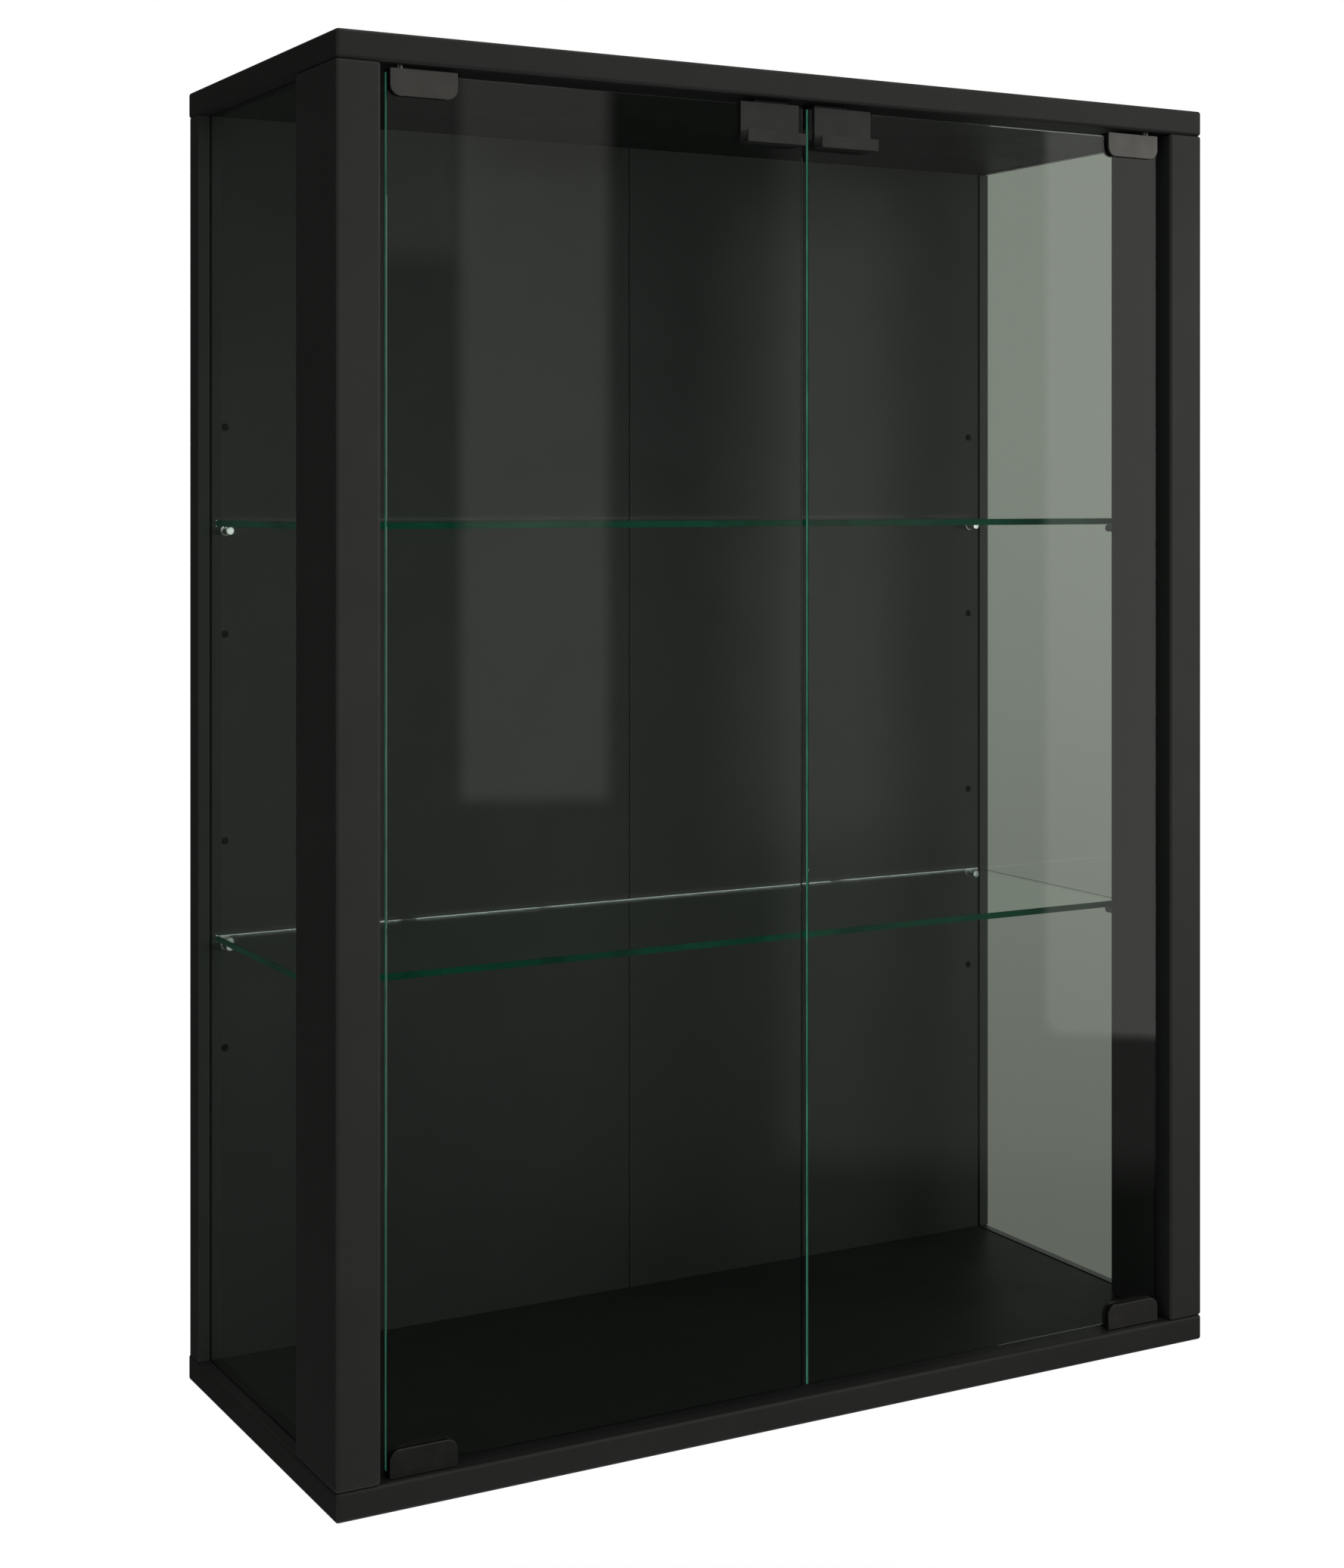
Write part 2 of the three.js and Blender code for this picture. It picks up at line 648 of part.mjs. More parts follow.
function door(side) {
  const frame = new THREE.Group();
  const pullX = DOOR_INNER + PULL_FROM_DOOR_EDGE + PULL.width / 2 - PIVOT_X;
  frame.add(
    piece(`door_glass_${side}`, doorGlass(), MATERIALS.clearGlass),
    doorHinge(side, "upper"),
    doorHinge(side, "lower"),
    at(piece(`door_pull_${side}`, doorPull(), MATERIALS.darkMetal), pullX, 0, END - DOOR_END_GAP),
  );
  const group = mirror(SIDES[side], 1);
  group.add(at(frame, PIVOT_X, PIVOT_Y, 0));
  return group;
}

// A glass shelf, with its underside at z = 0.
function glassShelf(level) {
  const end = PANE_MIDDLE - PANE_GLASS / 2 - SHELF_END_GAP;
  const sheet = glassSheet(
    [-end, end],
    [POST_REAR + SHELF_EDGE_GAP, PANEL_FRONT - SHELF_EDGE_GAP],
    [0, SHELF_GLASS],
  );
  const z = ENDS[level] * SHELF_LEVEL + PIN.radius + SHELF_REST_GAP;
  return at(piece(`glass_shelf_${level}`, sheet, MATERIALS.clearGlass), 0, 0, z);
}

function board(name, end, hasCatches) {
  const group = mirror(1, ENDS[end]);
  group.add(at(piece(name, endBoard(hasCatches), MATERIALS.board), 0, 0, END));
  return group;
}

const showcase = new THREE.Group();
showcase.position.z = HEIGHT / 2;
showcase.add(
  board("top_board", "upper", true),
  board("bottom_board", "lower", false),
  glassShelf("upper"),
  glassShelf("lower"),
);
for (const side of Object.keys(SIDES)) {
  showcase.add(caseHalf(side), door(side));
  for (const end of Object.keys(ENDS)) showcase.add(caseCorner(side, end));
}

const root = new THREE.Group();
root.add(showcase);

export default root;
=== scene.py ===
"""A wall-hung glass showcase: fine pieces, materials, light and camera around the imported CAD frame.

Metres, +Z up, in the frame of the CAD model. The doors face -Y.
"""

import json
import math

import bmesh
import bpy
from mathutils import Matrix, Vector

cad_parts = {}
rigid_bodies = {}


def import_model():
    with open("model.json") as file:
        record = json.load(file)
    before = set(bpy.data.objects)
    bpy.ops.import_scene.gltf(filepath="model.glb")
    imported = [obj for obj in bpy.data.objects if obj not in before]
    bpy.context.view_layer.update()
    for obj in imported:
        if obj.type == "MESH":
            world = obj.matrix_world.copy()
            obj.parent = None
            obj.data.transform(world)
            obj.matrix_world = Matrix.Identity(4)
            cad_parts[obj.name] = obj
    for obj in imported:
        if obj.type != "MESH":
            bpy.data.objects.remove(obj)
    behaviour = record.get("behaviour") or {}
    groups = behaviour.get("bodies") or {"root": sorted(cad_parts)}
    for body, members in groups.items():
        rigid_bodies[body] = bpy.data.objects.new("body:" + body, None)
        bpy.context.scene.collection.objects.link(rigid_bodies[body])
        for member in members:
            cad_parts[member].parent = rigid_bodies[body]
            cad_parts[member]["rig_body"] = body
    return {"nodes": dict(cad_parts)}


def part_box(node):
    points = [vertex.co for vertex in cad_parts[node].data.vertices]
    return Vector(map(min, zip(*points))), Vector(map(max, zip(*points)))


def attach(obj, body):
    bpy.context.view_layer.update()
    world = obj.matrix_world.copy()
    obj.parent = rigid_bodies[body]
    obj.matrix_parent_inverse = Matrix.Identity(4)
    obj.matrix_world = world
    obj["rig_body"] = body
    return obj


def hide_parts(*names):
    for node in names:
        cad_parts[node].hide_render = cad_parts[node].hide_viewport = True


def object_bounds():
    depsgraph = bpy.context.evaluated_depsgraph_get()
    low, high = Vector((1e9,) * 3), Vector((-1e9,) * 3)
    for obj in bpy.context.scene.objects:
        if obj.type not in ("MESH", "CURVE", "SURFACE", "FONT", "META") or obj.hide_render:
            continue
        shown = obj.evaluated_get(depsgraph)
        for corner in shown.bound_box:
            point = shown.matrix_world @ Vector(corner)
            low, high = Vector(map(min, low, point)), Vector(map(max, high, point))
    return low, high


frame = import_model()
CAD_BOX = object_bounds()
CASE_MIDDLE = (CAD_BOX[0] + CAD_BOX[1]) / 2

MM = 0.001
SIDES = ("left", "right")
ENDS = ("upper", "lower")
DEPTHS = ("back", "front")
X, Y, Z = Vector((1, 0, 0)), Vector((0, 1, 0)), Vector((0, 0, 1))

SHARP_ANGLE = math.radians(35)  # edges that turn by more than this stay sharp

# Sizes that the fine pieces share with the CAD nodes they stand for.
PIN_LENGTH = 10 * MM  # from the board's face to the free end
PIN_SEAT = 8 * MM  # how far the pin runs into its hole
PIN_RADIUS = 2.5 * MM
PIN_STEM_RADIUS = 2.4 * MM  # of the part in the hole
PIN_COLLAR_RADIUS = 3.2 * MM
PIN_COLLAR_LENGTH = 1.5 * MM
PIN_ROUND = 0.35 * MM
PIVOT_CHAMFER = 0.5 * MM
CLAMP_PLATE = 2 * MM
CLAMP_CORNER = 6 * MM
CLAMP_WEB = {"upper": 1.5 * MM, "lower": 3 * MM}  # solid metal beyond the glass edge
PULL_FOOT = 8.75 * MM  # how far the foot stands out in front of the pull's front leg
PULL_REAR_LEG = 18 * MM
PULL_LIP = 7 * MM
SHEET_ROUND = 0.2 * MM  # of the clamps' and pulls' edges

# Rounding of the edges of CAD nodes that have none of their own.
EDGE_ROUND = {
    "wall_hanger": 0.25 * MM,
    "catch_magnet": 0.2 * MM,
    "hanger_screw_inner": 0.12 * MM,
    "hanger_screw_outer": 0.12 * MM,
}

# A face of a pane belongs to its rim if it lies less squarely to the pane than this, where 1 is quite
# square. The higher limit takes in the small slanting arrises too.
RIM_WITHOUT_ARRISES = 0.2
RIM_WITH_ARRISES = 0.97
ARRIS_REACH = 1 * MM  # arrises this close to a shelf's rear are the rear ones
SHELF_ENDS_SHARE = 4  # how many times brighter a shelf's ends glow than its front, in painted glow

FLOOR_DROP = 0.75  # metres below the case
FLOOR_RADIUS = 6
FLOOR_FADE = (0.5, 1.5)  # metres from the case's middle over which the floor fades into the background

CAMERA_PLACE = (-0.7849, -1.3662, 0.5498)
CAMERA_TURN = -29.074  # degrees from square to the doors
CAMERA_LENS = 56.79
CAMERA_SHIFT = -0.184  # of the lens, to look lower while the uprights stay upright
SHIFT_KEPT = 0.1  # metres that the camera may stray before the shift starts to go
SHIFT_GONE = 0.2

# The studio's soft windows, which only mirror rays see: left and right azimuth, low and high elevation
# and how soft the edges are, in degrees, then the brightness. Azimuths are counted from -Y towards +X.
# A window named after a door is one that this door mirrors to CAMERA_PLACE.
WINDOWS = {
    "right wall": (46, 80, -3, 34, 8, 1.8),
    "left door, upright panel": (24.2, 27.6, -7, 12, 0.5, 0.5),
    "right door, left half": (31.6, 35.0, -15, 14, 1.2, 0.19),
    "right door, left half, brighter": (30.8, 34.6, -8, 6.5, 3, 0.25),
    "right door, right half": (35.0, 41.5, -15, 14, 1.5, 0.17),
    "right door, outer edge": (37.8, 44, -12, 13, 0.6, 2.0),
    "high in front": (-12, 60, 14, 44, 5, 0.45),
    "left door, top corner": (19, 24.2, 5.5, 16, 1.0, 0.22),
    "low in front": (26, 31, -16, 0, 4, 0.06),
    "behind the left side": (-178, -146, -11, 4, 6, 0.02),
    "left wall": (-84, -44, -40, 30, 14, 0.5),
    "behind the right side": (118, 172, -25, 40, 10, 0.7),
    "ceiling": (-180, 180, 52, 90, 16, 0.9),
}


def middle(node):
    """The middle of a CAD node's box."""
    low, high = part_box(node)
    return (low + high) / 2


# ---- Shader nodes ----


class Shader:
    """A material's node tree, with one short call for each kind of node."""

    def __init__(self, name):
        self.material = bpy.data.materials.new(name)
        self.material.use_nodes = True
        self.tree = self.material.node_tree
        self.tree.nodes.clear()

    @classmethod
    def over(cls, tree):
        """The same calls over a node tree that exists, such as the world's."""
        shader = cls.__new__(cls)
        shader.tree = tree
        tree.nodes.clear()
        return shader

    def node(self, kind, settings=None, **inputs):
        """A new node. Inputs are given by socket name, with _ for a space, as values or sockets."""
        made = self.tree.nodes.new("ShaderNode" + kind)
        for name, value in (settings or {}).items():
            setattr(made, name, value)
        for name, value in inputs.items():
            self.feed(made.inputs[name.replace("_", " ")], value)
        return made

    def feed(self, socket, value):
        if isinstance(value, bpy.types.NodeSocket):
            self.tree.links.new(value, socket)
        elif socket.type == "RGBA":
            socket.default_value = (*value, 1)
        else:
            socket.default_value = value

    def math(self, operation, a, b=0.0):
        made = self.tree.nodes.new("ShaderNodeMath")
        made.operation = operation
        self.feed(made.inputs[0], a)
        self.feed(made.inputs[1], b)
        return made.outputs[0]

    def vector(self, operation, a, b=(0, 0, 0)):
        made = self.tree.nodes.new("ShaderNodeVectorMath")
        made.operation = operation
        self.feed(made.inputs[0], a)
        self.feed(made.inputs[1], b)
        return made.outputs["Value" if operation in ("DOT_PRODUCT", "LENGTH") else "Vector"]

    def place(self):
        """The shading point in the row frame at rest, in metres."""
        return self.node("TexCoord").outputs["Object"]

    def noise(self, scale, detail=2.0, roughness=0.5, stretch=(1, 1, 1)):
        """Noise from 0 to 1, with this many features to a metre, times stretch along each axis."""
        place = self.vector("MULTIPLY", self.place(), stretch)
        made = self.node("TexNoise", Vector=place, Scale=scale, Detail=detail, Roughness=roughness)
        return made.outputs["Fac"]

    def ranged(self, value, low, high, to_low, to_high, smooth=False):
        """Value taken from the range low..high to the range to_low..to_high, and clamped there."""
        settings = {"interpolation_type": "SMOOTHSTEP" if smooth else "LINEAR", "clamp": True}
        made = self.node("MapRange", settings)
        for socket, number in zip(made.inputs, (value, low, high, to_low, to_high)):
            self.feed(socket, number)
        return made.outputs[0]

    def band(self, value, low, high, soft):
        """1 where value lies between low and high, 0 outside, with soft flanks."""
        rise = self.ranged(value, low - soft / 2, low + soft / 2, 0, 1, smooth=True)
        fall = self.ranged(value, high - soft / 2, high + soft / 2, 1, 0, smooth=True)
        return self.math("MULTIPLY", rise, fall)

    def mix_colour(self, share, a, b):
        made = self.node("Mix", {"data_type": "RGBA"})
        self.feed(made.inputs["Factor"], share)
        self.feed(made.inputs[6], a)
        self.feed(made.inputs[7], b)
        return made.outputs[2]

    def mix_shader(self, share, a, b):
        made = self.tree.nodes.new("ShaderNodeMixShader")
        self.feed(made.inputs[0], share)
        self.feed(made.inputs[1], a)
        self.feed(made.inputs[2], b)
        return made.outputs[0]

    def bump(self, height, depth, strength=1.0):
        """Depth is how deep height 1 is, in metres."""
        made = self.node("Bump", Height=height, Distance=depth, Strength=strength)
        return made.outputs["Normal"]

    def edge_highlight_mask(self, radius):
        """1 on the edges of a piece, where a normal rounded over radius turns away, 0 on its flats."""
        rounded = self.node("Bevel", {"samples": 4}, Radius=radius).outputs["Normal"]
        flat = self.node("NewGeometry").outputs["Normal"]
        agreement = self.vector("DOT_PRODUCT", rounded, flat)
        return self.ranged(agreement, 0.985, 0.9, 0.0, 1.0)

    def principled(self, **inputs):
        return self.node("BsdfPrincipled", **inputs).outputs["BSDF"]

    def done(self, surface):
        out = self.node("OutputMaterial")
        self.tree.links.new(surface, out.inputs["Surface"])
        return self.material


# ---- Materials ----


def board_black(name, shade=1.0):
    """Black furniture board: a satin foil with a fine pearl grain, and a painted highlight on its edges.
    """
    s = Shader(name)
    grain = s.noise(1500, detail=3)
    cloud = s.noise(22, detail=4, roughness=0.6)
    tone = s.math("ADD", s.math("MULTIPLY", grain, 0.6), s.math("MULTIPLY", cloud, 0.4))
    # Shade below 1 makes a darker copy of the board, as painted shade.
    dark = [shade * part for part in (0.035, 0.0353, 0.0338)]
    light = [shade * part for part in (0.047, 0.0473, 0.0455)]
    flat = s.mix_colour(s.ranged(tone, 0.3, 0.7, 0, 1), dark, light)
    # Painted highlight: the rounded edges get a lighter colour, standing in for the light they catch.
    wear_and_edge_highlight = s.math("MULTIPLY", s.edge_highlight_mask(1.2 * MM), 0.35)
    colour = s.mix_colour(wear_and_edge_highlight, flat, (0.09, 0.088, 0.085))
    rough = s.ranged(s.noise(9, detail=5, roughness=0.7), 0.3, 0.7, 0.46, 0.58)
    normal = s.bump(grain, 0.03 * MM, 0.5)
    return s.done(
        s.principled(Base_Color=colour, Roughness=rough, Normal=normal, Specular_IOR_Level=0.45)
    )


def coated_metal(name, dark, light, rough, metallic):
    """A satin powder coat on sheet metal, with its fine orange peel."""
    s = Shader(name)
    peel = s.noise(2600, detail=1.5)
    cloud = s.noise(60, detail=3)
    colour = s.mix_colour(s.ranged(cloud, 0.35, 0.65, 0, 1), dark, light)
    roughness = s.ranged(s.noise(180, detail=3), 0.3, 0.7, rough - 0.02, rough + 0.03)
    normal = s.bump(peel, 0.008 * MM, 0.4)
    return s.done(
        s.principled(Base_Color=colour, Metallic=metallic, Roughness=roughness, Normal=normal)
    )


def bright_metal(name, colour, rough, lines):
    """Turned or rolled bright metal, with fine tool lines across Y and lightly worn patches."""
    s = Shader(name)
    tool = s.noise(lines, detail=2, stretch=(0.15, 3, 0.15))
    wear_and_edge_highlight = s.noise(420, detail=4, roughness=0.65)
    tint = s.mix_colour(s.ranged(wear_and_edge_highlight, 0.4, 0.7, 0, 0.35), colour, [0.72 * part for part in colour])
    marks = s.math("ADD", tool, s.math("MULTIPLY", wear_and_edge_highlight, 0.5))
    roughness = s.ranged(marks, 0.5, 1.0, rough, rough + 0.14)
    normal = s.bump(tool, 0.004 * MM, 0.6)
    return s.done(s.principled(Base_Color=tint, Metallic=1.0, Roughness=roughness, Normal=normal))


def black_plastic():
    """Moulded black plastic with a fine spark-eroded texture."""
    s = Shader("black_plastic")
    cells = s.node("TexVoronoi", {"feature": "F1"}, Vector=s.place(), Scale=2200.0)
    spark = cells.outputs["Distance"]
    tone = s.ranged(s.noise(300, detail=3), 0.35, 0.65, 0, 1)
    colour = s.mix_colour(tone, (0.012, 0.012, 0.0125), (0.021, 0.021, 0.022))
    normal = s.bump(spark, 0.02 * MM, 0.6)
    return s.done(s.principled(Base_Color=colour, Roughness=0.5, Normal=normal))


def liner_rubber():
    """Matt black rubber, dusty in its pores."""
    s = Shader("liner_rubber")
    pores = s.noise(1800, detail=3)
    dust = s.ranged(pores, 0.45, 0.75, 0, 1)
    colour = s.mix_colour(dust, (0.009, 0.009, 0.009), (0.03, 0.03, 0.029))
    normal = s.bump(pores, 0.03 * MM, 0.7)
    return s.done(s.principled(Base_Color=colour, Roughness=0.82, Normal=normal))


def dowel_beech():
    """Beech: pale brown with fine darker rays along the dowel."""
    s = Shader("dowel_beech")
    rays = s.noise(700, detail=3, stretch=(1, 1, 0.06))
    flecks = s.noise(2500, detail=1, stretch=(1, 1, 0.2))
    wood = s.mix_colour(s.ranged(rays, 0.35, 0.65, 0, 1), (0.50, 0.29, 0.14), (0.62, 0.40, 0.21))
    colour = s.mix_colour(s.ranged(flecks, 0.6, 0.7, 0, 0.5), wood, (0.30, 0.15, 0.07))
    normal = s.bump(rays, 0.05 * MM, 0.6)
    return s.done(s.principled(Base_Color=colour, Roughness=0.62, Normal=normal))


def ground_rim(s, normal, tones, shelf):
    """The green ground edges of a pane, with painted shade: seen from inside the pane they are painted
    near black.

    Tones are the dark and light colour of the edge, and the colour of a painted glow on its upright edges
    that face out. A shelf's ends glow more than its front and rear.
    """
    edge_dark, edge_light, painted_glow = tones
    glow = s.ranged(s.noise(26, detail=4, roughness=0.6), 0.35, 0.65, 0, 1)
    grind = s.noise(900, detail=2)
    inside = s.node("NewGeometry").outputs["Backfacing"]
    outside = s.math("SUBTRACT", 1.0, inside)
    upright = s.math("LESS_THAN", s.math("ABSOLUTE", s.vector("DOT_PRODUCT", normal, Z)), 0.5)
    painted_glow_share = s.math("MULTIPLY", outside, upright)
    if shelf:
        endwards = s.math("ABSOLUTE", s.vector("DOT_PRODUCT", normal, X))
        painted_glow_share = s.math("MULTIPLY", painted_glow_share, s.ranged(endwards, 0.4, 0.6, 1, SHELF_ENDS_SHARE))
    green = s.mix_colour(glow, edge_dark, edge_light)
    return s.principled(
        # Painted shade: the rim is painted near black where it is seen from inside the pane.
        Base_Color=s.mix_colour(inside, green, (0.004, 0.014, 0.010)),
        Roughness=s.ranged(grind, 0.3, 0.7, 0.25, 0.4),
        Specular_IOR_Level=0.15,
        Normal=s.bump(grind, 0.02 * MM, 0.4),
        # Painted glow: the upright edges that face out emit a little green light, though the pane is no
        # lamp.
        Emission_Color=s.mix_colour(glow, [0.6 * part for part in painted_glow], painted_glow),
        Emission_Strength=painted_glow_share,
    )


def painted_rear_arris_highlight(s, facing, solid):
    """A shelf's glass with a painted highlight, a thin broken line of emitted light, on the ground arrises
    of its rear edge.
    """
    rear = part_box("glass_shelf_upper")[1].y
    depth = s.node("SeparateXYZ", Vector=s.place()).outputs["Y"]
    slant = s.band(facing, RIM_WITHOUT_ARRISES, RIM_WITH_ARRISES, 0.04)
    broken = s.ranged(s.noise(24, detail=3), 0.38, 0.42, 0.12, 1)
    at_rear = s.math("GREATER_THAN", depth, rear - ARRIS_REACH)
    highlight_share = s.math("MULTIPLY", at_rear, s.math("MULTIPLY", slant, broken))
    # Painted highlight: a pale, glowing ground glass on the rear arrises, though the shelf is no lamp.
    ground = s.principled(
        Base_Color=(0.75, 0.85, 0.80),
        Roughness=0.4,
        Emission_Color=(0.91, 1.0, 0.96),
        Emission_Strength=1.9,
    )
    return s.mix_shader(highlight_share, solid, ground)


def clear_glass(name, across, rim_tones, shelf=False):
    """Float glass whose large faces are square to across, with green ground edges.

    On a shelf the arrises belong to the green rim, and those of the rear edge carry a painted highlight.
    """
    s = Shader(name)
    to_object = {"vector_type": "NORMAL", "convert_from": "WORLD", "convert_to": "OBJECT"}
    true_normal = s.node("NewGeometry").outputs["True Normal"]
    normal = s.node("VectorTransform", to_object, Vector=true_normal).outputs["Vector"]
    facing = s.math("ABSOLUTE", s.vector("DOT_PRODUCT", normal, across))
    edge = s.math("LESS_THAN", facing, RIM_WITH_ARRISES if shelf else RIM_WITHOUT_ARRISES)

    smudge = s.ranged(s.noise(14, detail=5, roughness=0.65), 0.52, 0.75, 0.0, 0.012, smooth=True)
    pane = s.node("BsdfGlass", Color=(0.968, 0.99, 0.975), Roughness=smudge, IOR=1.5).outputs["BSDF"]
    solid = s.mix_shader(edge, pane, ground_rim(s, normal, rim_tones, shelf))
    if shelf:
        solid = painted_rear_arris_highlight(s, facing, solid)

    ray = s.node("LightPath")
    passing = s.math("MAXIMUM", ray.outputs["Is Shadow Ray"], ray.outputs["Is Diffuse Ray"])
    clear = s.node("BsdfTransparent", Color=(0.93, 0.975, 0.945)).outputs["BSDF"]
    s.material.cycles.emission_sampling = "NONE"
    return s.done(s.mix_shader(passing, solid, clear))


# The dark and light tone of each powder coat.
HINGE_COAT = ((0.15, 0.147, 0.139), (0.175, 0.171, 0.162))
PULL_COAT = ((0.034, 0.0338, 0.0325), (0.044, 0.0437, 0.0422))
MATERIALS = {
    "board_black": board_black("board_black"),
    "hinge_black": coated_metal("hinge_black", *HINGE_COAT, rough=0.25, metallic=0.88),
    "pull_black": coated_metal("pull_black", *PULL_COAT, rough=0.46, metallic=0.0),
    "pin_chrome": bright_metal("pin_chrome", (0.90, 0.90, 0.89), 0.24, 900),
    "pivot_chrome": bright_metal("pivot_chrome", (0.5, 0.5, 0.49), 0.3, 900),
    "magnet_steel": bright_metal("magnet_steel", (0.55, 0.55, 0.56), 0.28, 1400),
    "hanger_zinc": bright_metal("hanger_zinc", (0.60, 0.61, 0.62), 0.32, 500),
    "black_plastic": black_plastic(),
    "liner_rubber": liner_rubber(),
    "dowel_beech": dowel_beech(),
}

# The rims' dark and light colour, and the colour of the painted glow on their upright edges.
# Painted light: the door rims get much lighter colours than the shelf and pane rims of the same glass.
DOOR_RIM = ((0.05, 0.22, 0.15), (0.17, 0.50, 0.36), (0.022, 0.105, 0.068))
SHELF_RIM = ((0.001, 0.030, 0.015), (0.005, 0.065, 0.036), (0.0, 0.006, 0.003))
GLASS = {
    "door_glass": clear_glass("door_glass", Y, DOOR_RIM),
    "side_pane": clear_glass("pane_glass", X, SHELF_RIM),
    "glass_shelf": clear_glass("shelf_glass", Z, SHELF_RIM, shelf=True),
}

# The top and bottom board get a darker copy of the board material, as painted shade: they look darker than
# the posts and panels.
BOARDS = dict.fromkeys(("top_board", "bottom_board"), board_black("board_black_painted_shade", shade=0.78))


# ---- Fine pieces that stand for CAD nodes ----


def new_piece(name, mesh, node, slot, look=None):
    """A mesh object that stands for a CAD node, on its body, with its slot's material or another look."""
    piece = bpy.data.objects.new(name, mesh)
    bpy.context.scene.collection.objects.link(piece)
    mesh.materials.append(MATERIALS[look or slot])
    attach(piece, frame["nodes"][node]["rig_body"])
    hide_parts(node)
    return piece


def mesh_of(name, bm, matrix=None):
    """The finished smooth mesh of a bmesh, moved by matrix, with its sharp edges kept sharp."""
    bmesh.ops.recalc_face_normals(bm, faces=bm.faces)
    if matrix is not None:
        bm.transform(matrix)
        if matrix.determinant() < 0:
            bmesh.ops.reverse_faces(bm, faces=bm.faces)
    mesh = bpy.data.meshes.new(name)
    bm.to_mesh(mesh)
    bm.free()
    mesh.polygons.foreach_set("use_smooth", [True] * len(mesh.polygons))
    mesh.set_sharp_from_angle(angle=SHARP_ANGLE)
    return mesh


def arc(centre, radius, start, end, steps):
    """Points of an arc in a plane, from angle start to end in degrees, both ends included."""
    points = []
    for i in range(steps + 1):
        turn = math.radians(start + (end - start) * i / steps)
        points.append((centre[0] + radius * math.cos(turn), centre[1] + radius * math.sin(turn)))
    return points


def lathe(outline, facets=48):
    """A bmesh turned about the Y axis from (radius, y) points that start and end on the axis."""
    bm = bmesh.new()
    rings = []
    for radius, y in outline:
        if radius == 0:
            rings.append([bm.verts.new((0, y, 0))])
            continue
        turns = [2 * math.pi * i / facets for i in range(facets)]
        rings.append([bm.verts.new((radius * math.cos(t), y, radius * math.sin(t))) for t in turns])
    for low, high in zip(rings, rings[1:]):
        for i in range(facets):
            j = (i + 1) % facets
            below = (low[i % len(low)], low[j % len(low)])
            above = (high[j % len(high)], high[i % len(high)])
            bm.faces.new(list(dict.fromkeys(below + above)))  # a triangle where a ring is one point
    return bm


def extruded(outline, thickness):
    """A bmesh of an outline in the XZ plane, drawn out evenly to both sides of y = 0."""
    bm = bmesh.new()
    rear = [bm.verts.new((x, thickness / 2, z)) for x, z in outline]
    front = [bm.verts.new((x, -thickness / 2, z)) for x, z in outline]
    bm.faces.new(rear)
    bm.faces.new(list(reversed(front)))
    count = len(outline)
    for i in range(count):
        j = (i + 1) % count
        bm.faces.new((rear[j], rear[i], front[i], front[j]))
    return bm


def bevel(piece, width, segments=3, limit=40):
    """Rounds a piece's edges and keeps its flats flat."""
    rounding = piece.modifiers.new("rounding", "BEVEL")
    rounding.width = width
    rounding.segments = segments
    rounding.limit_method = "ANGLE"
    rounding.angle_limit = math.radians(limit)
    rounding.harden_normals = True


def cut(piece, cutter_bm):
    """Cuts a bmesh out of a piece, for good."""
    mesh = mesh_of("cutter", cutter_bm)
    cutter = bpy.data.objects.new("cutter", mesh)
    bpy.context.scene.collection.objects.link(cutter)
    boolean = piece.modifiers.new("cut", "BOOLEAN")
    boolean.operation = "DIFFERENCE"
    boolean.solver = "EXACT"
    boolean.object = cutter
    bpy.context.view_layer.update()
    evaluated = piece.evaluated_get(bpy.context.evaluated_depsgraph_get())
    result = bpy.data.meshes.new_from_object(evaluated)
    piece.modifiers.remove(boolean)
    piece.data = result
    bpy.data.objects.remove(cutter)


def box_bm(low, high):
    """A bmesh block between two corners."""
    bm = bmesh.new()
    bmesh.ops.create_cube(bm, size=1)
    size = Vector(high) - Vector(low)
    bm.transform(Matrix.Translation((Vector(low) + Vector(high)) / 2) @ Matrix.Diagonal((*size, 1)))
    return bm


def shelf_pin(level, depth, side):
    """A nickel pin with a rounded collar against the board and a domed free end."""
    node = f"shelf_pin_{level}_{depth}_{side}"
    low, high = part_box(node)
    centre = middle(node)
    outward = -1 if depth == "back" else 1  # which way along Y the free end points
    board_face = low.y + PIN_LENGTH if depth == "back" else high.y - PIN_LENGTH

    collar_rim = (PIN_COLLAR_RADIUS - PIN_ROUND, PIN_COLLAR_LENGTH - PIN_ROUND)
    collar_foot = (PIN_RADIUS + PIN_ROUND, PIN_COLLAR_LENGTH + PIN_ROUND)
    tip = (PIN_RADIUS - PIN_ROUND, PIN_LENGTH - PIN_ROUND)
    outline = [(0, -PIN_SEAT), (PIN_STEM_RADIUS, -PIN_SEAT), (PIN_STEM_RADIUS, 0)]
    outline += [(collar_rim[0], 0), *arc(collar_rim, PIN_ROUND, 0, 90, 5)]
    outline += [(collar_foot[0], PIN_COLLAR_LENGTH), *arc(collar_foot, PIN_ROUND, 270, 180, 5)]
    outline += [*arc(tip, PIN_ROUND, 0, 90, 6), (0, PIN_LENGTH)]
    place = Matrix.Translation((centre.x, board_face, centre.z)) @ Matrix.Diagonal((1, outward, 1, 1))
    mesh = mesh_of(f"pin_{level}_{depth}_{side}", lathe(outline), place)
    return new_piece(mesh.name, mesh, node, "pin_chrome")


